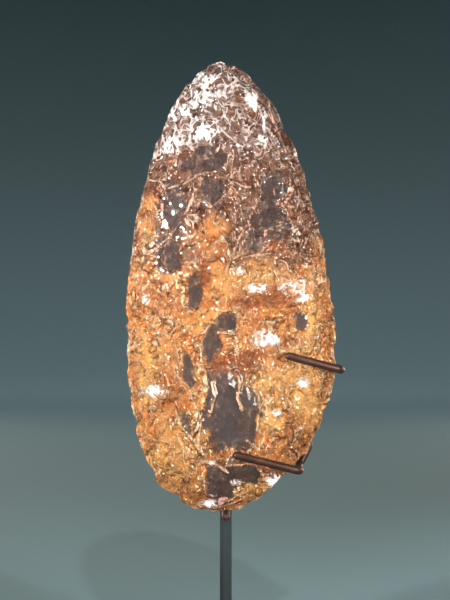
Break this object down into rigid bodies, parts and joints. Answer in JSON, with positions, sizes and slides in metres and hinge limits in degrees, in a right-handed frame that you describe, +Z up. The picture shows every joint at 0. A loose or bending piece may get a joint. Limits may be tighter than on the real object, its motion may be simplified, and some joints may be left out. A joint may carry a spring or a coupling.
{
  "type": "rock crystal side scraper",
  "caption": "Leaf-shaped side scraper knapped from clear rock crystal on both faces, held upright by bent wire hooks on a stem with a plain foot",
  "frame": {"origin": "the middle of the foot's underside", "axes": "+Z up along the stone's length, +X to the right seen from the front, -Y towards the viewer, out of the scraper's better face"},
  "size_m": [0.064, 0.044, 0.1478],
  "materials": {
    "crystal": "knapped, glossy, clear with iron stain",
    "hook_wire": "brown lacquer, satin",
    "stem_steel": "blued, satin",
    "foot_paint": "dark powder coat"
  },
  "bodies": {
    "root": {"side_scraper": "crystal", "upper_hook": "hook_wire", "lower_hook": "hook_wire", "bottom_rest": "hook_wire", "stem": "stem_steel", "foot": "foot_paint"}
  },
  "joints": []
}
